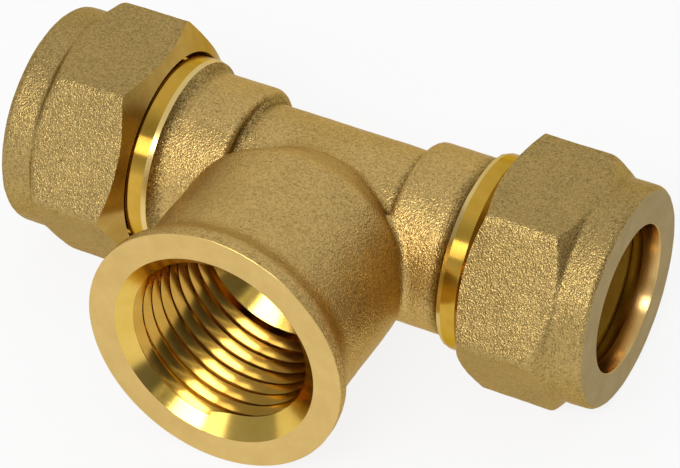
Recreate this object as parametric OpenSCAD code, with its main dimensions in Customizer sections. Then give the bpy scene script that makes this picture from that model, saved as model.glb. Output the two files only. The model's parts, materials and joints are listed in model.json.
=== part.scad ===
// Compression tee: two screwed pipe ends in line and a screwed branch with an inside thread.
// The run lies along X, the branch points to -Y and Z is up. All sizes are in millimetres.

/* [Pipe] */
// Outside diameter of the pipe that the run takes
pipe_d = 15; // [14:0.1:15.4]
// Room around the pipe in the sockets, olives and nuts
pipe_clearance = 0.1; // [0.05:0.01:0.2]
// Radius of the waterway inside the body
waterway_r = 6.5; // [5.5:0.1:6.8]
// Depth of a pipe socket from the end of the spigot to the pipe stop
socket_depth = 13; // [11:0.1:13.4]

/* [Run body] */
// Radius of the plain tube in the middle of the run
tube_r = 8.1; // [7.8:0.1:8.8]
// Distance from the middle of the tee to the step up to a neck
tube_half = 9.4; // [9:0.1:11]
// Radius of the two necks
neck_r = 9.5; // [9.1:0.1:9.9]
// Rounding of the inner edge of a neck
neck_round = 1.1; // [0.6:0.1:1.2]
// Length of a neck
neck_len = 6.45; // [5.6:0.05:7.6]
// Length of the sloping shoulder between a neck and its turned ring
shoulder_len = 0.8; // [0.5:0.1:1.4]
// Height of the bevel on the inner edge of a turned ring
ring_bevel_h = 0.18; // [0.1:0.02:0.3]
// Length of that bevel along the run
ring_bevel_len = 0.5; // [0.3:0.1:0.8]
// Length of a turned ring, without its bevel
ring_len = 1.85; // [1.4:0.05:2.2]
// Bevel on the outer edge of a turned ring
ring_edge = 0.3; // [0.1:0.05:0.4]

/* [Spigot and thread] */
// Crest radius of the thread on the spigots
thread_r = 10.48; // [10.2:0.02:10.7]
// Pitch of all the threads
thread_pitch = 1.814; // [1.5:0.002:1.9]
// Length of a threaded spigot beyond its ring
spigot_len = 5.2; // [4.4:0.1:5.8]
// Radius of the cone at the mouth of a spigot
mouth_r = 8.75; // [8.6:0.05:8.8]
// Bevel on the end of a spigot
spigot_bevel = 0.4; // [0.2:0.05:0.45]

/* [Branch] */
// Distance from the run's axis to the branch face
branch_len = 26.35; // [25:0.05:28]
// Radius of the branch barrel
barrel_r = 12.5; // [12.2:0.1:13.2]
// Distance from the run's axis to the back edge of the barrel
barrel_back = 8.8; // [8:0.1:10]
// Rounding of the back edge of the barrel
barrel_round = 2.4; // [1:0.1:3]
// Radius of the saddle where the barrel runs into the tube
saddle_r = 8.8; // [8.4:0.1:9.6]
// Distance from the run's axis to the foot of the barrel's sloping back
saddle_back = 3; // [2:0.1:4]
// Outside radius of the flange
flange_r = 14.12; // [13.6:0.02:15]
// Thickness of the flange at its rim
flange_rim = 1.4; // [1:0.1:2]
// Bevel between the rim and the branch face
flange_edge = 0.15; // [0.1:0.05:0.3]
// Rounding in the corner between the flange and the barrel
flange_round = 0.8; // [0.4:0.1:1]
// Root radius of the thread inside the branch
branch_thread_r = 10.48; // [10.2:0.02:10.7]
// Radius of the bevel at the branch mouth
branch_mouth_r = 11.15; // [11:0.05:11.6]
// Depth of the threaded hole from the branch face
branch_thread_depth = 14.45; // [13.5:0.05:15]

/* [Nuts] */
// Width of a nut across its flats
nut_af = 24; // [23:0.1:25]
// Length of a nut
nut_len = 14.25; // [13.6:0.05:14.8]
// Part of each hexagon corner that is rounded away
nut_corner_cut = 0.14; // [0.05:0.01:0.3]
// Angle of the cone turned on the inner end of the hexagon
nut_cone_angle = 30; // [20:1:35]
// Rounding of the hexagon's outer corners
nut_round = 0.8; // [0.4:0.1:1]
// Length of the slope from the hexagon's outer corners down to the collar
nut_slope_len = 1.3; // [1:0.05:1.6]
// Depth of the round collar below the flats
nut_collar_drop = 0.2; // [0.1:0.05:0.5]
// Length of the round collar
nut_collar_len = 3.6; // [3.2:0.1:4]
// Rounding of the collar's outer edge
nut_edge = 0.6; // [0.3:0.1:1]
// Angle between a nut's olive cone and the run
nut_seat_angle = 27; // [25:1:35]
// Length of the pipe hole in a nut
nut_hole_len = 1.77; // [1.4:0.01:2.2]
// Rounding of the pipe hole's edge
nut_hole_edge = 0.3; // [0.1:0.05:0.4]
// Room between a nut's thread root and the crests on the spigot
nut_thread_clearance = 0.07; // [0.05:0.01:0.15]
// Bevel at the thread mouth of a nut
nut_mouth_bevel = 0.55; // [0.4:0.05:0.7]
// Turn of the nuts about the run, in degrees
nut_turn = 2.85; // [0:0.05:8]

/* [Olives] */
// Length of an olive
olive_len = 6; // [5.4:0.1:6.6]
// Radius of an olive at its middle
olive_r = 9; // [8.8:0.05:9.2]
// Radius of an olive at its ends
olive_end_r = 8.3; // [8.15:0.05:8.4]
// Length of the round middle of an olive
olive_band_len = 1.6; // [0.6:0.1:2.4]
// Room between an olive and the cones that it sits in
seat_clearance = 0.07; // [0.05:0.01:0.1]

/* [Hidden] */
$fn = 96;
arc_steps = 8;
through = 1;

brass_forged = [0.70, 0.58, 0.36];
brass_nut = [0.66, 0.55, 0.35];
brass_bright = [0.86, 0.70, 0.30];

// Whitworth thread depth, as a share of the pitch
thread_depth = 0.6403 * thread_pitch;
spigot_r = thread_r - thread_depth;
pipe_hole_r = pipe_d / 2 + pipe_clearance;

// Places along the run, measured from the middle of the tee
neck_end = tube_half + neck_len;
bevel_start = neck_end + shoulder_len;
ring_start = bevel_start + ring_bevel_len;
ring_end = ring_start + ring_len;
spigot_end = ring_end + spigot_len;
mouth_gap = seat_clearance * sqrt(2);
olive_start = spigot_end - (mouth_r - olive_end_r) + mouth_gap;
olive_end = olive_start + olive_len;
olive_taper_len = (olive_len - olive_band_len) / 2;
nut_cone_end = olive_end + (olive_end_r - pipe_hole_r) / tan(nut_seat_angle) + seat_clearance / sin(nut_seat_angle);
nut_end = nut_cone_end + nut_hole_len;
nut_start = nut_end - nut_len;

// Sizes of the nuts
nut_corner_r = nut_af / 2 / cos(30) - nut_corner_cut;
nut_collar_r = nut_af / 2 - nut_collar_drop;
nut_thread_r = thread_r + nut_thread_clearance;
nut_mouth_r = nut_thread_r + nut_mouth_bevel;
nut_hex_end = nut_end - nut_collar_len;

// Sizes of the branch
flange_back = branch_len - flange_edge - flange_rim;
flange_foot = flange_back - (flange_r - barrel_r);
branch_cone_back = branch_len - branch_thread_depth;

// The origin is under the middle of the whole part
back_edge = nut_corner_r * cos(nut_turn);
origin_shift = [0, (branch_len - back_edge) / 2, flange_r];

// Points of an arc about a centre, from one angle to another
function arc(centre, radius, from, to) = [
    for (i = [0:arc_steps])
        let (a = from + (to - from) * i / arc_steps)
        centre + radius * [cos(a), sin(a)]
];

// Points of a rounded corner b on the way from a to c
function rounded(a, b, c, radius) =
    let (
        u = (a - b) / norm(a - b),
        v = (c - b) / norm(c - b),
        half = acos(u * v) / 2,
        centre = b + (u + v) / norm(u + v) * radius / sin(half),
        p = b + u * radius / tan(half) - centre,
        q = b + v * radius / tan(half) - centre,
        from = atan2(p.y, p.x),
        turn = atan2(q.y, q.x) - from,
        swept = turn > 180 ? turn - 360 : turn < -180 ? turn + 360 : turn
    )
    arc(centre, radius, from, from + swept);

// A profile of radius and distance, spun about the run on one side of the tee
module spin_on_run(side, profile) {
    rotate([0, 90 * side, 0])
        rotate_extrude()
            polygon(profile);
}

// A profile of radius and distance, spun about the branch
module spin_on_branch(profile) {
    rotate([90, 0, 0])
        rotate_extrude()
            polygon(profile);
}

// One half of the run's outside: tube, neck, shoulder, turned ring and spigot
module run_outside(side) {
    neck_corner = rounded([tube_r, tube_half], [neck_r, tube_half], [neck_r, neck_end], neck_round);
    spin_on_run(side, concat(
        [[0, 0], [tube_r, 0], [tube_r, tube_half]],
        neck_corner,
        [
            [neck_r, neck_end],
            [thread_r - ring_bevel_h, bevel_start],
            [thread_r, ring_start],
            [thread_r, ring_end - ring_edge],
            [thread_r - ring_edge, ring_end],
            [spigot_r, ring_end],
            [spigot_r, spigot_end - spigot_bevel],
            [spigot_r - spigot_bevel, spigot_end],
            [0, spigot_end]
        ]
    ));
}

// One half of the run's inside: waterway, pipe stop, socket and olive seat
module run_inside(side) {
    mouth_len = mouth_r - pipe_hole_r;
    stop = spigot_end - socket_depth;
    spin_on_run(side, [
        [0, -through],
        [waterway_r, -through],
        [waterway_r, stop],
        [pipe_hole_r, stop],
        [pipe_hole_r, spigot_end - mouth_len],
        [mouth_r + through, spigot_end + through],
        [0, spigot_end + through]
    ]);
}

// Outside of the branch: sloping back, barrel and flange
module branch_outside() {
    back_corner = rounded([saddle_r, saddle_back], [barrel_r, barrel_back], [barrel_r, flange_foot], barrel_round);
    foot_corner = rounded([barrel_r, barrel_back], [barrel_r, flange_foot], [flange_r, flange_back], flange_round);
    spin_on_branch(concat(
        [[0, 0], [tube_r, 0], [saddle_r, saddle_back]],
        back_corner,
        foot_corner,
        [
            [flange_r, flange_back],
            [flange_r, branch_len - flange_edge],
            [flange_r - flange_edge, branch_len],
            [0, branch_len]
        ]
    ));
}

// Inside of the branch: waterway, cone, threaded hole and mouth bevel
module branch_inside() {
    mouth_len = branch_mouth_r - branch_thread_r;
    cone_len = branch_thread_r - waterway_r;
    spin_on_branch([
        [0, 0],
        [waterway_r, 0],
        [waterway_r, branch_cone_back - cone_len],
        [branch_thread_r, branch_cone_back],
        [branch_thread_r, branch_len - mouth_len],
        [branch_mouth_r + through, branch_len + through],
        [0, branch_len + through]
    ]);
}

// The forged body with both spigots and the branch
module tee_body() {
    color(brass_forged)
        translate(origin_shift)
            difference() {
                union() {
                    run_outside(-1);
                    run_outside(1);
                    branch_outside();
                }
                run_inside(-1);
                run_inside(1);
                branch_inside();
            }
}

// Outline that trims the hexagon: inner cone, corners, outer slope and collar
module nut_outside(side) {
    cone_len = (nut_corner_r - nut_mouth_r) * tan(nut_cone_angle);
    hex_corner = rounded([nut_corner_r, nut_start + cone_len], [nut_corner_r, nut_hex_end - nut_slope_len],
        [nut_collar_r, nut_hex_end], nut_round);
    end_corner = rounded([nut_collar_r, nut_hex_end], [nut_collar_r, nut_end], [0, nut_end], nut_edge);
    spin_on_run(side, concat(
        [[0, nut_start], [nut_mouth_r, nut_start], [nut_corner_r, nut_start + cone_len]],
        hex_corner,
        [[nut_collar_r, nut_hex_end]],
        end_corner,
        [[0, nut_end]]
    ));
}

// Inside of a nut: thread mouth, threaded hole, olive cone and pipe hole
module nut_inside(side) {
    cone_start = nut_cone_end - (nut_thread_r - pipe_hole_r) / tan(nut_seat_angle);
    hole_corner = rounded([pipe_hole_r, nut_cone_end], [pipe_hole_r, nut_end], [nut_collar_r, nut_end], nut_hole_edge);
    spin_on_run(side, concat(
        [
            [0, nut_start - through],
            [nut_mouth_r + through, nut_start - through],
            [nut_thread_r, nut_start + nut_mouth_bevel],
            [nut_thread_r, cone_start],
            [pipe_hole_r, nut_cone_end]
        ],
        hole_corner,
        [[pipe_hole_r + nut_hole_edge, nut_end + through], [0, nut_end + through]]
    ));
}

// A hexagon nut with its collar, on one side of the tee
module nut(side) {
    color(brass_nut)
        translate(origin_shift)
            difference() {
                intersection() {
                    nut_outside(side);
                    rotate([0, 90 * side, 0])
                        rotate(30 + side * nut_turn)
                            cylinder(r = nut_af / 2 / cos(30), h = nut_end + through, $fn = 6);
                }
                nut_inside(side);
            }
}

// The soft ring that the nut squeezes on the pipe, on one side of the tee
module olive(side) {
    color(brass_bright)
        translate(origin_shift)
            spin_on_run(side, [
                [pipe_hole_r, olive_start],
                [olive_end_r, olive_start],
                [olive_r, olive_start + olive_taper_len],
                [olive_r, olive_end - olive_taper_len],
                [olive_end_r, olive_end],
                [pipe_hole_r, olive_end]
            ]);
}

module nut_left() {
    nut(-1);
}

module nut_right() {
    nut(1);
}

module olive_left() {
    olive(-1);
}

module olive_right() {
    olive(1);
}

tee_body();
nut_left();
nut_right();
olive_left();
olive_right();
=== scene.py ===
"""Looks of the compression tee: forged skins with turned faces and cut threads, in a pale studio."""
import itertools
import json
import math

import bmesh
import bpy
import numpy as np
from mathutils import Matrix, Vector, noise


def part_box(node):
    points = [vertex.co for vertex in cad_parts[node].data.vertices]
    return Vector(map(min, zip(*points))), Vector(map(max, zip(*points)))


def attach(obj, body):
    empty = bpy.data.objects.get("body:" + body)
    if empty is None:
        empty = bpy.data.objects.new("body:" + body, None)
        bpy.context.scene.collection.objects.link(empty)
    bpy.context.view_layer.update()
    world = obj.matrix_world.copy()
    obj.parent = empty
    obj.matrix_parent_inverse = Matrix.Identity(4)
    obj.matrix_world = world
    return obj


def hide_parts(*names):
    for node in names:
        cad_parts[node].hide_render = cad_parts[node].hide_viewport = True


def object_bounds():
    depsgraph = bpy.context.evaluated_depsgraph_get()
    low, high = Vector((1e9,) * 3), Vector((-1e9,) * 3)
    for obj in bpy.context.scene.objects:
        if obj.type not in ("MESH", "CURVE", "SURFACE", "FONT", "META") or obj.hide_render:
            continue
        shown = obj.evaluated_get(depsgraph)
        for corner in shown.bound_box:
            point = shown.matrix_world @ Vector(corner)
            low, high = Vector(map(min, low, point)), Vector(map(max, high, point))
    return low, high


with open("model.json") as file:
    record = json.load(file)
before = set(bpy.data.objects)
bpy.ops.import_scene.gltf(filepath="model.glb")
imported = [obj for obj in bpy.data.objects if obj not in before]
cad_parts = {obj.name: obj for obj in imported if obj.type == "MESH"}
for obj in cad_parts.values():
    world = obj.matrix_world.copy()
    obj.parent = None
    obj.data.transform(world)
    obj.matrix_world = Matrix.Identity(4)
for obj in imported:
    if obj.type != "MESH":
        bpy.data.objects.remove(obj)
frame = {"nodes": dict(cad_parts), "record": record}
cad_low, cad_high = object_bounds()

# The pieces are shaped in millimetres about the point where the run and the branch cross.
MM = 0.001
MOUNTS = {mount["name"]: mount for mount in frame["record"]["mounts"]}
CROSSING = Vector((0, *MOUNTS["pipe_socket_right"]["pos_m"][1:]))

# Sizes of the run
PIPE_HOLE_R = MOUNTS["pipe_socket_right"]["dims"]["r_mm"]
WATERWAY_R = 6.5
PIPE_STOP = 11.2
TUBE_R = 8.1
TUBE_HALF = 9.4
NECK_R = 9.5
NECK_ROUND = 0.6
NECK_LEAN = 0.1
NECK_FOOT = 0.45
SHOULDER_LEAN = 0.43
SHOULDER_FOOT = 1.3
RING_R = 10.48
RING_BEVEL_H = 0.18
BEVEL_START = 16.65
RING_START = 17.15
RING_END = 19.0
RING_EDGE = 0.1
SPIGOT_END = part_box("tee_body")[1].x / MM
SPIGOT_MOUTH_R = 8.75
SPIGOT_RIM = 0.3

# Sizes of the threads
PITCH = 1.814
THREAD_DEPTH = 0.6403 * PITCH
FLANK = math.tan(math.radians(27.5))
ROOT_R = RING_R - THREAD_DEPTH
TIP_FLAT = 0.16
TIP_EASE = 0.06
RUN_CREST_R = RING_R - 0.08
RUN_UNDERCUT = 0.8
RUN_THREAD_PHASE = 0.5
NUT_RIDGE_R = ROOT_R + 0.1
BRANCH_TIP_FLAT = 0.05
BRANCH_CREST_FLAT = 0.12
BRANCH_FLANK_ANGLES = (37, 48)
BRANCH_THREAD_PHASE = 0.18

# Sizes of the branch
BRANCH_FACE = (CROSSING.y - cad_low.y) / MM
BARREL_R = 12.5
BARREL_BACK = 8.8
BARREL_ROUND = 3.0
SADDLE_R = 8.8
SADDLE_BACK = 3.0
FLANGE_R = (cad_high.z - cad_low.z) / MM / 2
FLANGE_RIM = 1.4
FLANGE_EDGE = 0.05
FLANGE_FLARE = 1.7
FLANGE_ROUND = 4.0
FLANGE_SOFT = 2.4
BRANCH_MOUTH_R = 11.15
BRANCH_THREAD_DEPTH = 14.45

# Sizes of the nuts
NUT_AF = 24.0
NUT_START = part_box("nut_right")[0].x / MM
NUT_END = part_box("nut_right")[1].x / MM
NUT_TURN = 2.85
NUT_CORNER_R = 13.72
NUT_CONE_SLOPE = math.tan(math.radians(30))
NUT_ROUND = 1.1
NUT_COLLAR_R = 11.8
NUT_HEX_END = NUT_END - 3.6
NUT_SLOPE_LEN = 1.3
NUT_FOOT = 0.6
NUT_EDGE = 0.8
NUT_MOUTH_BEVEL = 0.3
NUT_THREAD_R = RING_R + 0.07
NUT_MOUTH_R = NUT_THREAD_R + NUT_MOUTH_BEVEL
NUT_SEAT_SLOPE = math.tan(math.radians(27))
NUT_HOLE_LEN = 1.77
NUT_HOLE_LAND = 0.45
NUT_HOLE_FLARE = 0.28
NUT_HOLE_EDGE = 0.06

# Mesh of the forged skin: its cells, the cells along a block that is tested at once, the rounds
# in which points are drawn to the surface, and the least slope that they are drawn by
BODY_CELL = 0.3
NUT_CELL = 0.2
NET_BLOCK = 8
NET_ROUNDS = 4
LEAST_SLOPE = 0.5

# Form of the forged skin: soft inner corners, worn edges, spare metal for the lathe, waves and pits
FORGED_FILLET = 0.9
FORGED_EDGE = 0.28
STOCK = 0.5
WAVE_HEIGHT, WAVE_LENGTH = 0.045, 4.0
PIT_HEIGHT, PIT_LENGTH = 0.03, 0.9

# Cutters: how far they reach past an opening, and their facets in a turn
OVERLAP = 1
SEGMENTS = 288
THREAD_STEPS = 108

# A thread starts with this share of its depth and has all of it after about this part of a turn.
THREAD_START = 0.05
THREAD_FADE = 0.25

# Angles from which an edge looks sharp
FORGED_SHARP = math.radians(60)
TURNED_SHARP = math.radians(12)

# Each axis is two sideways directions and the way out of the tee, right-handed.
X, Y, Z = np.eye(3)
RUN = {"right": (Y, Z, X), "left": (Z, Y, -X)}
BRANCH = (X, Z, -Y)


# Outlines: lists of (radius, distance) points

def rounded(a, b, c, radius, steps=10):
    """Points of a round corner of that radius at b, on the way from a to c."""
    a, b, c = (np.array(p, float) for p in (a, b, c))
    u, v = (a - b) / np.linalg.norm(a - b), (c - b) / np.linalg.norm(c - b)
    half = math.acos(u @ v) / 2
    centre = b + (u + v) / np.linalg.norm(u + v) * radius / math.sin(half)
    p, q = (b + w * radius / math.tan(half) - centre for w in (u, v))
    first, last = math.atan2(p[1], p[0]), math.atan2(q[1], q[0])
    turn = (last - first + math.pi) % (2 * math.pi) - math.pi
    angles = [first + turn * i / steps for i in range(steps + 1)]
    return [tuple(centre + radius * np.array([math.cos(t), math.sin(t)])) for t in angles]


def run_blank():
    """The forged run before its ends are turned."""
    tube_end = (TUBE_R, TUBE_HALF - NECK_LEAN)
    neck_start = (NECK_R, TUBE_HALF + NECK_LEAN)
    neck_end = (NECK_R, BEVEL_START - SHOULDER_LEAN)
    lean = SHOULDER_LEAN / (RING_R - RING_BEVEL_H - NECK_R)
    stock_r = RING_R + STOCK
    shoulder = (stock_r, neck_end[1] + (stock_r - NECK_R) * lean)
    return [
        (0, -TUBE_HALF),
        (TUBE_R, -TUBE_HALF),
        *rounded((TUBE_R, 0), tube_end, neck_start, NECK_FOOT),
        *rounded(tube_end, neck_start, neck_end, NECK_ROUND),
        *rounded(neck_start, neck_end, shoulder, SHOULDER_FOOT),
        shoulder,
        (stock_r, SPIGOT_END + STOCK),
        (0, SPIGOT_END + STOCK),
    ]


def branch_blank():
    """The forged branch before its face is turned."""
    flange_back = BRANCH_FACE - FLANGE_EDGE - FLANGE_RIM
    foot = flange_back - (FLANGE_R - BARREL_R) * FLANGE_FLARE
    return [
        (0, 0),
        (TUBE_R, 0),
        (SADDLE_R, SADDLE_BACK),
        *rounded((SADDLE_R, SADDLE_BACK), (BARREL_R, BARREL_BACK), (BARREL_R, foot), BARREL_ROUND),
        *rounded((BARREL_R, BARREL_BACK), (BARREL_R, foot), (FLANGE_R, flange_back), FLANGE_ROUND),
        *rounded((BARREL_R, foot), (FLANGE_R, flange_back), (FLANGE_R, BRANCH_FACE), FLANGE_SOFT),
        (FLANGE_R, BRANCH_FACE + STOCK),
        (0, BRANCH_FACE + STOCK),
    ]


def nut_blank():
    """The round outline that trims the nut's hexagon."""
    far = NUT_END + STOCK / 4
    corner = (NUT_CORNER_R, NUT_HEX_END - NUT_SLOPE_LEN)
    foot = (NUT_COLLAR_R, NUT_HEX_END)
    return [
        (0, NUT_START - STOCK),
        (NUT_CORNER_R, NUT_START - STOCK),
        *rounded((NUT_CORNER_R, NUT_START), corner, foot, NUT_ROUND),
        *rounded(corner, foot, (NUT_COLLAR_R, far), NUT_FOOT),
        *rounded(foot, (NUT_COLLAR_R, far), (0, far), NUT_EDGE),
        (0, far),
    ]


def run_end_cut():
    """What the lathe takes off a run's end: bevel, ring, undercut, thread crests and end face."""
    chamfer = RUN_CREST_R - SPIGOT_MOUTH_R - SPIGOT_RIM
    clear_r = RING_R + 3 * STOCK
    clear_end = SPIGOT_END + 3 * STOCK
    return [
        (RING_R - RING_BEVEL_H, BEVEL_START),
        (RING_R, RING_START),
        (RING_R, RING_END - RING_EDGE),
        (RING_R - RING_EDGE, RING_END),
        (ROOT_R, RING_END),
        (ROOT_R, RING_END + RUN_UNDERCUT),
        (RUN_CREST_R, RING_END + RUN_UNDERCUT + (RUN_CREST_R - ROOT_R) / 2),
        (RUN_CREST_R, SPIGOT_END - chamfer),
        (RUN_CREST_R - chamfer, SPIGOT_END),
        (0, SPIGOT_END),
        (0, clear_end),
        (clear_r, clear_end),
        (clear_r, BEVEL_START),
    ]


def run_bore():
    """Waterway, pipe stop, socket and olive seat of a run's end."""
    seat = SPIGOT_MOUTH_R - PIPE_HOLE_R
    return [
        (0, -OVERLAP),
        (WATERWAY_R, -OVERLAP),
        (WATERWAY_R, PIPE_STOP),
        (PIPE_HOLE_R, PIPE_STOP),
        (PIPE_HOLE_R, SPIGOT_END - seat),
        (SPIGOT_MOUTH_R + OVERLAP, SPIGOT_END + OVERLAP),
        (0, SPIGOT_END + OVERLAP),
    ]


def branch_bore():
    """Waterway, deep cone, thread crests, mouth bevel, face and rim bevel of the branch."""
    cone_end = BRANCH_FACE - BRANCH_THREAD_DEPTH
    clear = 3 * STOCK
    return [
        (0, 0),
        (WATERWAY_R, 0),
        (WATERWAY_R, cone_end - (RING_R - WATERWAY_R)),
        (ROOT_R, cone_end - THREAD_DEPTH),
        (ROOT_R, BRANCH_FACE - (BRANCH_MOUTH_R - ROOT_R)),
        (BRANCH_MOUTH_R, BRANCH_FACE),
        (FLANGE_R - FLANGE_EDGE, BRANCH_FACE),
        (FLANGE_R + clear, BRANCH_FACE - FLANGE_EDGE - clear),
        (FLANGE_R + clear, BRANCH_FACE + clear),
        (0, BRANCH_FACE + clear),
    ]


def nut_envelope():
    """What the lathe leaves of a nut: inner cone, thread wall, olive cone, pipe hole and end face."""
    wide = NUT_CORNER_R + STOCK
    cone_end = NUT_END - NUT_HOLE_LEN
    land_end = (PIPE_HOLE_R, cone_end + NUT_HOLE_LAND)
    hole_end = (PIPE_HOLE_R + NUT_HOLE_FLARE, NUT_END)
    return [
        (wide, NUT_START + (wide - NUT_MOUTH_R) * NUT_CONE_SLOPE),
        (NUT_MOUTH_R, NUT_START),
        (NUT_THREAD_R, NUT_START + NUT_MOUTH_BEVEL),
        (NUT_THREAD_R, cone_end - (NUT_THREAD_R - PIPE_HOLE_R) / NUT_SEAT_SLOPE),
        (PIPE_HOLE_R, cone_end),
        land_end,
        *rounded(land_end, hole_end, (wide, NUT_END), NUT_HOLE_EDGE),
        (wide, NUT_END),
    ]


def thread_outline(tip_r, base_r, reach):
    """A thread's section: a narrow tip, sloping flanks and a straight foot that reaches past the base."""
    way = 1 if base_r > tip_r else -1
    half_base = TIP_FLAT + abs(base_r - tip_r) * FLANK
    side = [
        (tip_r, TIP_FLAT / 2),
        (tip_r + way * TIP_EASE, TIP_FLAT + TIP_EASE * FLANK),
        (base_r, half_base),
        (base_r + way * reach, half_base),
    ]
    return side + [(r, -t) for r, t in reversed(side)]


def branch_groove(steps=6):
    """The section cut between two of the branch's crests, with flanks that round off towards them."""
    first, last = (math.radians(a) for a in BRANCH_FLANK_ANGLES)
    crest_edge = PITCH / 2 - BRANCH_CREST_FLAT
    radius = (crest_edge - BRANCH_TIP_FLAT) / (math.sin(last) - math.sin(first))
    side = []
    for i in range(steps + 1):
        slope = last + (first - last) * i / steps
        deep = radius * (math.cos(first) - math.cos(slope))
        side.append((ROOT_R + deep, crest_edge - radius * (math.sin(slope) - math.sin(first))))
    side.append((ROOT_R - STOCK, crest_edge))
    return side + [(r, -t) for r, t in reversed(side)]


# Shapes: points in millimetres and faces

def profile_distance(r, t, outline):
    """Signed distance in the half plane to a closed outline, below zero inside."""
    nearest = np.full(r.shape, np.inf)
    inside = np.zeros(r.shape, bool)
    for (r0, t0), (r1, t1) in zip(outline, outline[1:] + outline[:1]):
        dr, dt = r1 - r0, t1 - t0
        if max(r0, r1) > 0 and (dr or dt):
            share = np.clip(((r - r0) * dr + (t - t0) * dt) / (dr * dr + dt * dt), 0, 1)
            nearest = np.minimum(nearest, (r - r0 - share * dr) ** 2 + (t - t0 - share * dt) ** 2)
        if dt:
            inside ^= ((t0 <= t) != (t1 <= t)) & (r < r0 + (t - t0) * dr / dt)
    return np.where(inside, -1, 1) * np.sqrt(nearest)


def smooth_min(a, b, reach):
    """The lesser of two distances, with a soft corner where they meet."""
    share = np.clip(0.5 + 0.5 * (b - a) / reach, 0, 1)
    return b * (1 - share) + a * share - reach * share * (1 - share)


def body_distance(p):
    """Signed distance to the forged body, solid and uncut."""
    run = profile_distance(np.hypot(p[..., 1], p[..., 2]), np.abs(p[..., 0]), run_blank())
    branch = profile_distance(np.hypot(p[..., 0], p[..., 2]), -p[..., 1], branch_blank())
    return smooth_min(run, branch, FORGED_FILLET)


def nut_distance(p):
    """Signed distance to a forged nut, solid and uncut."""
    y, z = p[..., 1], p[..., 2]
    skin = profile_distance(np.hypot(y, z), np.abs(p[..., 0]), nut_blank())
    for flat in range(3):
        a = math.radians(90 + NUT_TURN + 60 * flat)
        across = np.abs(y * math.cos(a) + z * math.sin(a)) - NUT_AF / 2
        skin = -smooth_min(-skin, -across, FORGED_EDGE)
    return skin


def slope_of(distance, points, step=0.01):
    """The direction in which a distance grows."""
    rises = [distance(points + step * e) - distance(points - step * e) for e in (X, Y, Z)]
    return np.stack(rises, -1) / (2 * step)


def spread(marks, counts):
    """Gives each block's mark to all of its corners."""
    for axis in range(3):
        marks = marks.repeat(NET_BLOCK, axis)
    return marks[:counts[0], :counts[1], :counts[2]]


def surface_net(distance, low, high, cell):
    """Points and quads of the surface at distance zero, with one point in each cell that it crosses."""
    low = np.array(low, float)
    counts = np.ceil((np.array(high) - low) / cell).astype(int) + 1
    blocks = np.stack(np.meshgrid(*(np.arange(0, n, NET_BLOCK) for n in counts), indexing="ij"), -1)
    middle = distance(low + (blocks + (NET_BLOCK - 1) / 2) * cell)
    inside = spread(middle < 0, counts)
    near = spread(np.abs(middle) < NET_BLOCK * cell, counts)
    inside[near] = distance(low + np.argwhere(near) * cell) < 0
    filled = np.zeros(counts - 1, int)
    for i, j, k in itertools.product((0, 1), repeat=3):
        filled += inside[i:counts[0] - 1 + i, j:counts[1] - 1 + j, k:counts[2] - 1 + k]
    crossed = (filled > 0) & (filled < 8)
    number = np.full(crossed.shape, -1)
    number[crossed] = np.arange(crossed.sum())
    points = low + (np.argwhere(crossed) + 0.5) * cell
    for _ in range(NET_ROUNDS):
        slope = slope_of(distance, points)
        length = np.maximum((slope ** 2).sum(-1), LEAST_SLOPE ** 2)
        points = points - (distance(points) / length)[:, None] * slope
    quads = []
    corners = (0, 0), (1, 0), (1, 1), (0, 1)
    for axis in range(3):
        side, rise = np.eye(3, dtype=int)[[(axis + 1) % 3, (axis + 2) % 3]]
        here = np.take(inside, range(counts[axis] - 1), axis)
        edges = np.argwhere(here != np.take(inside, range(1, counts[axis]), axis))
        around = [number[tuple((edges - a * side - b * rise).T)] for a, b in corners]
        quad = np.stack(around, -1)
        outward = here[tuple(edges.T)]
        quads.append(np.where(outward[:, None], quad, quad[:, ::-1]))
    return points, np.concatenate(quads)


def roughen(distance, points):
    """Moves the points of a forged skin in and out by low waves and pits."""
    lift = [
        WAVE_HEIGHT * noise.noise(Vector(p / WAVE_LENGTH))
        + PIT_HEIGHT * noise.noise(Vector(p / PIT_LENGTH))
        for p in points
    ]
    return points + np.array(lift)[:, None] * slope_of(distance, points)


def spin(axis, outline):
    """Points and faces of an outline spun about an axis, and the outline's edge under each face."""
    u, v, way = axis
    angles = np.linspace(0, 2 * math.pi, SEGMENTS, endpoint=False)
    rim = np.cos(angles)[:, None] * u + np.sin(angles)[:, None] * v
    points, rings = [], []
    for r, t in outline:
        if r > 0:
            rings.append([len(points) + k for k in range(SEGMENTS)])
            points.extend(r * rim + t * way)
        else:
            rings.append([len(points)] * SEGMENTS)
            points.append(t * way)
    faces, edges = [], []
    for edge, ring in enumerate(rings):
        after = rings[(edge + 1) % len(rings)]
        for k in range(SEGMENTS):
            m = (k + 1) % SEGMENTS
            face = list(dict.fromkeys([ring[k], ring[m], after[m], after[k]]))
            if len(face) > 2:
                faces.append(face)
                edges.append(edge)
    return points, faces, edges


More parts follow.
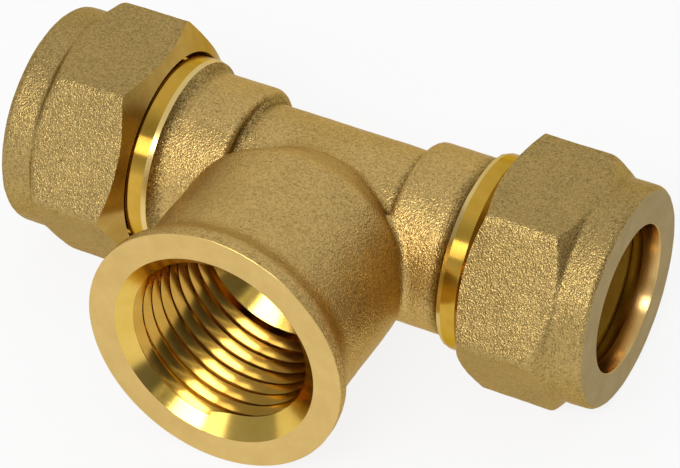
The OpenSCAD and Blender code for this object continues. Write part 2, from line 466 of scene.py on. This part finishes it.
def wind(axis, outline, span, phase):
    """Points and faces of an outline carried along a right-hand thread that deepens at its start."""
    u, v, way = axis
    start, end = span
    first = start / PITCH - phase
    steps = math.ceil((end - start) / PITCH * THREAD_STEPS)
    size = len(outline)
    foot_r = outline[size // 2][0]
    base_r = outline[size // 2 - 2][0]
    points = []
    for step in range(steps + 1):
        turn = first + step / THREAD_STEPS
        rim = math.cos(2 * math.pi * turn) * u + math.sin(2 * math.pi * turn) * v
        lead = PITCH * (turn + phase)
        depth = min(1, THREAD_START + step / (THREAD_FADE * THREAD_STEPS))
        for r, t in outline:
            sunk = r if r == foot_r else base_r + (r - base_r) * depth
            points.append(sunk * rim + (lead + t) * way)
    faces = [list(range(size)), list(range(steps * size, (steps + 1) * size))]
    for step, k in itertools.product(range(steps), range(size)):
        a, b = step * size, (step + 1) * size
        m = (k + 1) % size
        faces.append([a + k, a + m, b + m, b + k])
    return points, faces


# Objects

def new_object(name, points, faces, materials, indices=None):
    """A closed mesh object in millimetres about the crossing, with its faces turned outward."""
    mesh = bpy.data.meshes.new(name)
    mesh.from_pydata(np.array(points).tolist(), [], [list(map(int, face)) for face in faces])
    for material in materials:
        mesh.materials.append(material)
    if indices is not None:
        mesh.polygons.foreach_set("material_index", indices)
    shell = bmesh.new()
    shell.from_mesh(mesh)
    bmesh.ops.recalc_face_normals(shell, faces=shell.faces)
    shell.to_mesh(mesh)
    shell.free()
    obj = bpy.data.objects.new(name, mesh)
    bpy.context.scene.collection.objects.link(obj)
    return obj


def forged_object(name, distance, low, high, cell, material):
    """The uneven forged skin at distance zero, as an object."""
    points, quads = surface_net(distance, low, high, cell)
    return new_object(name, roughen(distance, points), quads, [material])


def spun_tool(axis, outline, materials, material_of_edge=None):
    """A spun cutter, with the first material on each edge of its outline that isn't given another."""
    points, faces, edges = spin(axis, outline)
    finish_of = material_of_edge or {}
    return new_object("tool", points, faces, materials, [finish_of.get(edge, 0) for edge in edges])


def thread_tool(axis, outline, span, phase, material):
    """A thread of that section over a span of the axis, to be cut out or added."""
    points, faces = wind(axis, outline, span, phase)
    return new_object("tool", points, faces, [material])


def carve(obj, steps):
    """Applies Boolean steps of (operation, tool) to an object and removes the tools."""
    for operation, tool in steps:
        cut = obj.modifiers.new(operation, "BOOLEAN")
        cut.operation = operation
        cut.object = tool
        cut.solver = "MANIFOLD"
        cut.material_mode = "TRANSFER"
    bpy.context.view_layer.update()
    carved = bpy.data.meshes.new_from_object(obj.evaluated_get(bpy.context.evaluated_depsgraph_get()))
    obj.modifiers.clear()
    obj.data = carved
    for _, tool in steps:
        bpy.data.objects.remove(tool)


def crease(mesh):
    """Keeps the forged skin soft, and sharpens the edges between finishes and at turned corners."""
    shell = bmesh.new()
    shell.from_mesh(mesh)
    for face in shell.faces:
        face.smooth = True
    for edge in shell.edges:
        first, second = (face.material_index for face in edge.link_faces)
        limit = FORGED_SHARP if first == 0 else TURNED_SHARP
        edge.smooth = first == second and edge.calc_face_angle() < limit
    shell.to_mesh(mesh)
    shell.free()


def settle(obj, body, node):
    """Brings a shaped piece into the frame in metres, and seats it there for its node."""
    obj.data.transform(Matrix.Translation(CROSSING) @ Matrix.Scale(MM, 4))
    crease(obj.data)
    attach(obj, body)
    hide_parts(node)


# Materials

# Brass stays yellow where it is seen at a low angle.
BRASS_EDGE = (0.7, 0.58, 0.38, 1)

# Painted shade: the forging's colour is darkened in the corners behind the rings and at the feet of the
# necks, where shade falls.
RING_CORNER = (BEVEL_START - 1.9, BEVEL_START - 0.5)
NECK_CORNER = (0.25, 1.1)
NECK_CORNER_R = (TUBE_R + 0.5, NECK_R)
CORNER_PAINTED_SHADE = 0.16

# The blasted skin's noises: number in a millimetre, detail and roughness, and each one's share of the tone
GRAINS, GRAIN_SHARE = (5.5, 1.0, 0.5), 0.4
PATCHES, PATCH_SHARE = (0.3, 3.0, 0.6), 0.15
PITS, PIT_SHARE = (3.0, 2.0, 0.7), 0.45

# The tones at which it has its four colours, of which the first two are shares of the dark one
TONE_STOPS = (0.28, 0.36, 0.45, 0.57)
DARK_SHARES = (0.4, 0.72)

# Its roughness, and the strength of its grains and their depth in millimetres
FORGED_ROUGH = (0.29, 0.38)
GRAIN_BUMP, GRAIN_DEPTH = 1.0, 0.11

# The lathe's fine lines and the stains on them: number in a millimetre, detail and roughness
LATHE_LINES = (9.0, 3.0, 0.7)
STAINS = (0.4, 3.0, 0.6)

# How far the lines change in a turn, their depth in millimetres, and where the stains' two colours lie
LATHE_DRIFT = 0.02
LATHE_DEPTH = 0.02
STAIN_STOPS = (0.35, 0.7)


class Nodes:
    """Short calls for building one material's or the world's nodes."""

    def __init__(self, owner):
        owner.use_nodes = True
        self.tree = owner.node_tree
        self.tree.nodes.clear()

    def add(self, kind, inputs=None, **settings):
        """A new node with its settings, and its inputs set to values or linked to outputs."""
        node = self.tree.nodes.new(kind)
        for key, value in settings.items():
            setattr(node, key, value)
        for key, value in (inputs or {}).items():
            if isinstance(value, bpy.types.NodeSocket):
                self.tree.links.new(value, node.inputs[key])
            else:
                node.inputs[key].default_value = value
        return node

    def math(self, operation, *values):
        return self.add("ShaderNodeMath", dict(enumerate(values)), operation=operation).outputs[0]

    def hypotenuse(self, a, b):
        """The distance from an axis, from the two coordinates across it."""
        squares = self.math("ADD", self.math("MULTIPLY", a, a), self.math("MULTIPLY", b, b))
        return self.math("SQRT", squares)

    def millimetres(self):
        """The object's own coordinates about the crossing, in millimetres."""
        place = self.add("ShaderNodeTexCoord").outputs["Object"]
        moved = self.add("ShaderNodeVectorMath", {0: place, 1: CROSSING}, operation="SUBTRACT").outputs[0]
        return self.add("ShaderNodeVectorMath", {0: moved, "Scale": 1 / MM}, operation="SCALE").outputs[0]

    def noise(self, place, per_mm, detail, rough):
        inputs = {"Vector": place, "Scale": per_mm, "Detail": detail, "Roughness": rough}
        return self.add("ShaderNodeTexNoise", inputs).outputs["Fac"]

    def ramp(self, value, *stops):
        """A colour that follows a value through stops of (place, colour)."""
        node = self.add("ShaderNodeValToRGB", {"Fac": value})
        elements = node.color_ramp.elements
        while len(elements) < len(stops):
            elements.new(0.5)
        for element, (place, colour) in zip(elements, stops):
            element.position = place
            element.color = (*colour, 1)
        return node.outputs["Color"]

    def range(self, value, low, high):
        """A number that goes evenly from low to high as a value goes from 0 to 1."""
        inputs = {"Value": value, "To Min": low, "To Max": high}
        return self.add("ShaderNodeMapRange", inputs).outputs["Result"]

    def smooth(self, value, start, end, low, high):
        """A number that goes softly from low to high as a value goes from start to end."""
        inputs = {"Value": value, "From Min": start, "From Max": end, "To Min": low, "To Max": high}
        return self.add("ShaderNodeMapRange", inputs, interpolation_type="SMOOTHSTEP").outputs["Result"]

    def bump(self, height, strength, depth_mm):
        inputs = {"Height": height, "Strength": strength, "Distance": depth_mm * MM}
        return self.add("ShaderNodeBump", inputs).outputs["Normal"]

    def metal(self, colour, roughness, normal):
        inputs = {"Base Color": colour, "Metallic": 1.0, "Roughness": roughness, "Normal": normal}
        inputs["Specular Tint"] = BRASS_EDGE
        shader = self.add("ShaderNodeBsdfPrincipled", inputs)
        self.add("ShaderNodeOutputMaterial", {"Surface": shader.outputs[0]})


def painted_corner_shade(n, place):
    """Painted shade: how far the body's tone is darkened in the corners behind the rings and at the feet
    of the necks.
    """
    x, y, z = n.add("ShaderNodeSeparateXYZ", {0: place}).outputs
    along = n.math("ABSOLUTE", x)
    radius = n.hypotenuse(y, z)
    behind_ring = n.smooth(along, *RING_CORNER, 0, CORNER_PAINTED_SHADE)
    off_step = n.math("ABSOLUTE", n.math("SUBTRACT", along, TUBE_HALF - NECK_LEAN))
    at_step = n.smooth(off_step, *NECK_CORNER, CORNER_PAINTED_SHADE, 0)
    low = n.smooth(radius, *NECK_CORNER_R, 1, 0)
    return n.math("ADD", behind_ring, n.math("MULTIPLY", at_step, low))


def forged_brass(name, dark, light, shade=None):
    """Blasted forging: fine grains and a few dark pits over slow patches, darker where painted shade is
    given.
    """
    material = bpy.data.materials.new(name)
    n = Nodes(material)
    place = n.millimetres()
    grains, patches, pits = (n.noise(place, *kind) for kind in (GRAINS, PATCHES, PITS))
    tone = n.math("ADD", n.math("MULTIPLY", patches, PATCH_SHARE), n.math("MULTIPLY", grains, GRAIN_SHARE))
    tone = n.math("ADD", tone, n.math("MULTIPLY", pits, PIT_SHARE))
    if shade is not None:
        tone = n.math("SUBTRACT", tone, shade(n, place))
    darkest, darker = ([share * c for c in dark] for share in DARK_SHARES)
    colour = n.ramp(tone, *zip(TONE_STOPS, (darkest, darker, dark, light)))
    roughness = n.range(patches, *FORGED_ROUGH)
    n.metal(colour, roughness, n.bump(grains, GRAIN_BUMP, GRAIN_DEPTH))
    return material


def turned_brass(name, axis, colour_low, colour_high, rough_low, rough_high, groove=0.12):
    """Turned brass: fine rings about an axis, over a bright ground."""
    material = bpy.data.materials.new(name)
    n = Nodes(material)
    place = n.millimetres()
    parts = n.add("ShaderNodeSeparateXYZ", {0: place}).outputs
    along = parts[axis]
    a, b = (parts[i] for i in range(3) if i != axis)
    drift = n.math("MULTIPLY", n.math("ARCTAN2", a, b), LATHE_DRIFT)
    rings = n.add("ShaderNodeCombineXYZ", {0: along, 1: n.hypotenuse(a, b), 2: drift}).outputs[0]
    lines = n.noise(rings, *LATHE_LINES)
    stain = n.noise(place, *STAINS)
    colour = n.ramp(stain, *zip(STAIN_STOPS, (colour_low, colour_high)))
    roughness = n.range(lines, rough_low, rough_high)
    n.metal(colour, roughness, n.bump(lines, groove, LATHE_DEPTH))
    return material


# Finishes: two colours each, and for turned ones also the axis by number, before them,
# and the roughness from low to high and the strength of the lines, after them
# The body's forging takes painted shade in its corners.
FORGED = forged_brass("forged_body", (0.53, 0.36, 0.125), (0.71, 0.485, 0.175), painted_corner_shade)
FORGED_NUT = forged_brass("forged_nut", (0.39, 0.27, 0.095), (0.53, 0.37, 0.135))
TURNED_RUN = turned_brass("turned_run", 0, (0.57, 0.335, 0.04), (0.65, 0.40, 0.065), 0.07, 0.17)
# Painted highlight: the ring's bevels are a paler, lighter brass than the ring, for their bright
# reflection.
BEVELLED_RUN = turned_brass("bevelled_run", 0, (0.76, 0.56, 0.2), (0.82, 0.62, 0.25), 0.16, 0.26)
TURNED_BRANCH = turned_brass("turned_branch", 1, (0.52, 0.295, 0.05), (0.61, 0.355, 0.07), 0.11, 0.21)
# Painted highlight: the deep cone and the mouth bevel are a lighter brass than the threads, so that their
# white hot spots show.
BEVELLED_BRANCH = turned_brass("bevelled_branch", 1, (0.74, 0.495, 0.10), (0.80, 0.55, 0.13), 0.12, 0.2)
FACED_BRANCH = turned_brass("faced_branch", 1, (0.67, 0.46, 0.16), (0.74, 0.52, 0.19), 0.3, 0.4, 0.25)
FACED_NUT = turned_brass("faced_nut", 0, (0.36, 0.295, 0.182), (0.42, 0.345, 0.213), 0.36, 0.5, 0.3)
CONE_NUT = turned_brass("cone_nut", 0, (0.41, 0.25, 0.055), (0.50, 0.315, 0.08), 0.12, 0.2, 0.2)
# Painted shade: the nut's mouth bevel, thread wall, olive seat and thread ridge are a dark brass, for the
# shade in the gap and inside the nut.
PAINTED_SHADE_BORE_NUT = turned_brass("bore_nut", 0, (0.25, 0.155, 0.045), (0.32, 0.21, 0.065), 0.3, 0.4, 0.2)
HOLE_NUT = turned_brass("hole_nut", 0, (0.60, 0.39, 0.14), (0.72, 0.48, 0.19), 0.17, 0.27, 0.3)
# The olive's bright brass is made lighter still, as painted light, so that it shows bright inside the nut.
OLIVE = turned_brass("olive_bright", 0, (0.90, 0.64, 0.10), (0.95, 0.71, 0.15), 0.4, 0.5)


# The tee's pieces

def make_body():
    """The forging, turned and threaded at both ends of the run and in its branch."""
    low = (-SPIGOT_END - 2 * STOCK, -BRANCH_FACE - 2 * STOCK, -FLANGE_R - 2 * STOCK)
    high = (SPIGOT_END + 2 * STOCK, RING_R + 3 * STOCK, FLANGE_R + 2 * STOCK)
    body = forged_object("tee_forging", body_distance, low, high, BODY_CELL, FORGED)

    # Edges of the outlines are counted from 0, and those not named take the first finish.
    # The bevels take the lighter finish, a painted highlight.
    end_finishes = [TURNED_RUN, BEVELLED_RUN]
    front_bevel, back_bevel = 0, 2
    end_finish_of_edge = {front_bevel: 1, back_bevel: 1}
    groove = thread_outline(ROOT_R, RUN_CREST_R, STOCK)
    groove_span = (RING_END + RUN_UNDERCUT / 2 + PITCH / 2, SPIGOT_END + PITCH)
    tools = []
    for axis in RUN.values():
        tools += [
            spun_tool(axis, run_end_cut(), end_finishes, end_finish_of_edge),
            spun_tool(axis, run_bore(), [TURNED_RUN]),
            thread_tool(axis, groove, groove_span, RUN_THREAD_PHASE, TURNED_RUN),
        ]
    # The deep cone and mouth bevel take the lighter finish, a painted highlight.
    branch_finishes = [TURNED_BRANCH, BEVELLED_BRANCH, FACED_BRANCH]
    deep_cone, mouth_bevel, face, rim_bevel = 2, 4, 5, 6
    branch_finish_of_edge = {deep_cone: 1, mouth_bevel: 1, face: 2, rim_bevel: 2}
    branch_start = BRANCH_FACE - BRANCH_THREAD_DEPTH - THREAD_DEPTH + PITCH / 2
    branch_span = (branch_start, BRANCH_FACE + PITCH)
    tools += [
        spun_tool(BRANCH, branch_bore(), branch_finishes, branch_finish_of_edge),
        thread_tool(BRANCH, branch_groove(), branch_span, BRANCH_THREAD_PHASE, TURNED_BRANCH),
    ]
    carve(body, [("DIFFERENCE", tool) for tool in tools])
    settle(body, "body", "tee_body")


def make_nut(side):
    """A forged nut, turned inside and on both ends, with a thread ridge on its wall."""
    axis = RUN[side]
    way = int(axis[2][0])
    reach = NUT_CORNER_R + STOCK
    ends = sorted((way * (NUT_START - 2 * STOCK), way * (NUT_END + STOCK)))
    low, high = (ends[0], -reach, -reach), (ends[1], reach, reach)
    nut = forged_object(f"{side}_nut_forging", nut_distance, low, high, NUT_CELL, FORGED_NUT)
    outline = nut_envelope()
    # The mouth bevel, thread wall, seat and thread ridge take the dark finish that paints their shade.
    finishes = [HOLE_NUT, CONE_NUT, PAINTED_SHADE_BORE_NUT, FACED_NUT]
    cone, mouth, wall, seat = range(4)
    face = len(outline) - 2
    envelope = spun_tool(axis, outline, finishes, {cone: 1, mouth: 2, wall: 2, seat: 2, face: 3})
    ridge = thread_outline(NUT_RIDGE_R, NUT_THREAD_R, STOCK / 2)
    seat_start = outline[seat][1]
    ridge_span = (NUT_START + PITCH, seat_start - PITCH / 2)
    thread = thread_tool(axis, ridge, ridge_span, RUN_THREAD_PHASE, PAINTED_SHADE_BORE_NUT)
    carve(nut, [("INTERSECT", envelope), ("UNION", thread)])
    settle(nut, f"{side}_nut", f"nut_{side}")


def finish_olive(side):
    """The olive's own solid is true, so it only takes a bright finish, which is partly painted light."""
    olive = frame["nodes"][f"olive_{side}"]
    olive.data.materials.clear()
    olive.data.materials.append(OLIVE)


# The studio

# The camera is aimed at the crossing, then moved aside. Its distances are in millimetres.
CAMERA_AZIMUTH, CAMERA_ELEVATION, CAMERA_ROLL = (math.radians(a) for a in (26.899, 39.35, 0.396))
CAMERA_DISTANCE = 408.13
CAMERA_RIGHT, CAMERA_UP = 0.643, -3.25
CAMERA_NUDGE = -0.15
CAMERA_SENSOR, CAMERA_LENS = 36, 209.14
CAMERA_CLIP = (0.01, 20)

# The floor slopes, so that the flange and the nuts touch it. Its reach is in metres, its white a share.
FLOOR_TILT = math.radians(4.6)
FLOOR_REACH = 4.0
FLOOR_COLOUR = (0.93, 0.93, 0.93, 1)
FLOOR_WHITE = 0.85

# The room's even level, its pale horizon, and its dim parts:
# azimuth, elevation, full spread and faded spread in degrees, and the share of the level that is left
ROOM_LEVEL = 0.76
HORIZON_LEVEL, HORIZON_HEIGHTS = 0.95, (0.03, 0.09)
DIM_PARTS = (
    (75, 22, 18, 48, 0.22),
    (48, 6, 8, 40, 0.4),
    (30, 30, 8, 18, 0.5),
    (-55, 28, 24, 42, 0.5),
)

# The soft boxes: azimuth and elevation in degrees, width and height in metres, and brightness
LAMP_DISTANCE = 0.6
LAMPS = {
    "key": (4, 41, 0.27, 0.16, 8.8),
    "side": (-26, 33, 0.13, 0.19, 2.4),
    "strip": (31, 31, 0.012, 0.22, 1.8),
}


def direction(azimuth, elevation):
    """The way out from the tee: azimuth 0 is out of the branch, 90 along the run to the right."""
    flat = math.cos(elevation)
    return Vector((math.sin(azimuth) * flat, -math.cos(azimuth) * flat, math.sin(elevation)))


def add_camera():
    """The camera at the place from which the tee is seen as in the photograph."""
    back = direction(CAMERA_AZIMUTH, CAMERA_ELEVATION)
    right = Vector((math.cos(CAMERA_AZIMUTH), math.sin(CAMERA_AZIMUTH), 0))
    level = Matrix((right, back.cross(right), back)).transposed()
    turned = level @ Matrix.Rotation(CAMERA_ROLL, 3, "Z")
    offset = back * CAMERA_DISTANCE + turned @ Vector((CAMERA_RIGHT, CAMERA_UP, 0))
    offset += Vector((CAMERA_NUDGE, 0, 0))
    data = bpy.data.cameras.new("camera")
    data.sensor_width = CAMERA_SENSOR
    data.lens = CAMERA_LENS
    data.clip_start, data.clip_end = CAMERA_CLIP
    camera = bpy.data.objects.new("camera", data)
    camera.matrix_world = Matrix.Translation(CROSSING + offset * MM) @ turned.to_4x4()
    bpy.context.scene.collection.objects.link(camera)
    bpy.context.scene.camera = camera


def add_lamp(name, azimuth, elevation, width, height, radiance):
    """A soft box that faces the tee, with its brightness given as seen from there."""
    data = bpy.data.lights.new(name, "AREA")
    data.shape = "RECTANGLE"
    data.size, data.size_y = width, height
    data.energy = radiance * math.pi * width * height
    lamp = bpy.data.objects.new(name, data)
    back = direction(math.radians(azimuth), math.radians(elevation))
    lamp.location = CROSSING + back * LAMP_DISTANCE
    lamp.rotation_euler = back.to_track_quat("Z", "Y").to_euler()
    bpy.context.scene.collection.objects.link(lamp)


def add_floor():
    """A pale floor that the nuts and the flange rest on."""
    normal = Vector((0, -math.sin(FLOOR_TILT), math.cos(FLOOR_TILT)))
    lowest = min(normal.dot(v.co) for node in frame["nodes"].values() for v in node.data.vertices)
    mesh = bpy.data.meshes.new("floor")
    corners = [(-FLOOR_REACH, -FLOOR_REACH, 0), (FLOOR_REACH, -FLOOR_REACH, 0),
               (FLOOR_REACH, FLOOR_REACH, 0), (-FLOOR_REACH, FLOOR_REACH, 0)]
    mesh.from_pydata(corners, [], [(0, 1, 2, 3)])
    material = bpy.data.materials.new("floor")
    n = Nodes(material)
    path = n.add("ShaderNodeLightPath").outputs
    seen = n.math("MAXIMUM", path["Is Camera Ray"], path["Is Glossy Ray"])
    seen = n.math("MAXIMUM", seen, path["Is Transmission Ray"])
    lit = n.add("ShaderNodeBsdfDiffuse", {"Color": FLOOR_COLOUR})
    white = n.add("ShaderNodeEmission", {"Color": (1, 1, 1, 1), "Strength": 1.0})
    share = n.math("MULTIPLY", seen, FLOOR_WHITE)
    shader = n.add("ShaderNodeMixShader", {0: share, 1: lit.outputs[0], 2: white.outputs[0]})
    n.add("ShaderNodeOutputMaterial", {"Surface": shader.outputs[0]})
    mesh.materials.append(material)
    floor = bpy.data.objects.new("floor", mesh)
    floor.matrix_world = Matrix.Translation(normal * lowest) @ Matrix.Rotation(FLOOR_TILT, 4, "X")
    bpy.context.scene.collection.objects.link(floor)


def add_world():
    """A grey room with dim sides and a pale horizon."""
    world = bpy.data.worlds.new("studio")
    bpy.context.scene.world = world
    n = Nodes(world)
    way = n.add("ShaderNodeTexCoord").outputs["Generated"]
    level = ROOM_LEVEL
    for azimuth, elevation, full, faded, share in DIM_PARTS:
        centre = direction(math.radians(azimuth), math.radians(elevation))
        near = n.add("ShaderNodeVectorMath", {0: way, 1: centre}, operation="DOT_PRODUCT").outputs["Value"]
        cosines = math.cos(math.radians(faded)), math.cos(math.radians(full))
        level = n.math("MULTIPLY", n.smooth(near, *cosines, 1, share), level)
    height = n.add("ShaderNodeSeparateXYZ", {0: way}).outputs["Z"]
    level = n.math("MAXIMUM", level, n.smooth(height, *HORIZON_HEIGHTS, HORIZON_LEVEL, 0))
    room = n.add("ShaderNodeBackground", {"Color": level, "Strength": 1.0})
    n.add("ShaderNodeOutputWorld", {"Surface": room.outputs[0]})


add_camera()
make_body()
for side in RUN:
    make_nut(side)
    finish_olive(side)
add_floor()
add_world()
for name, lamp in LAMPS.items():
    add_lamp(name, *lamp)
bpy.context.scene.view_settings.view_transform = "Standard"
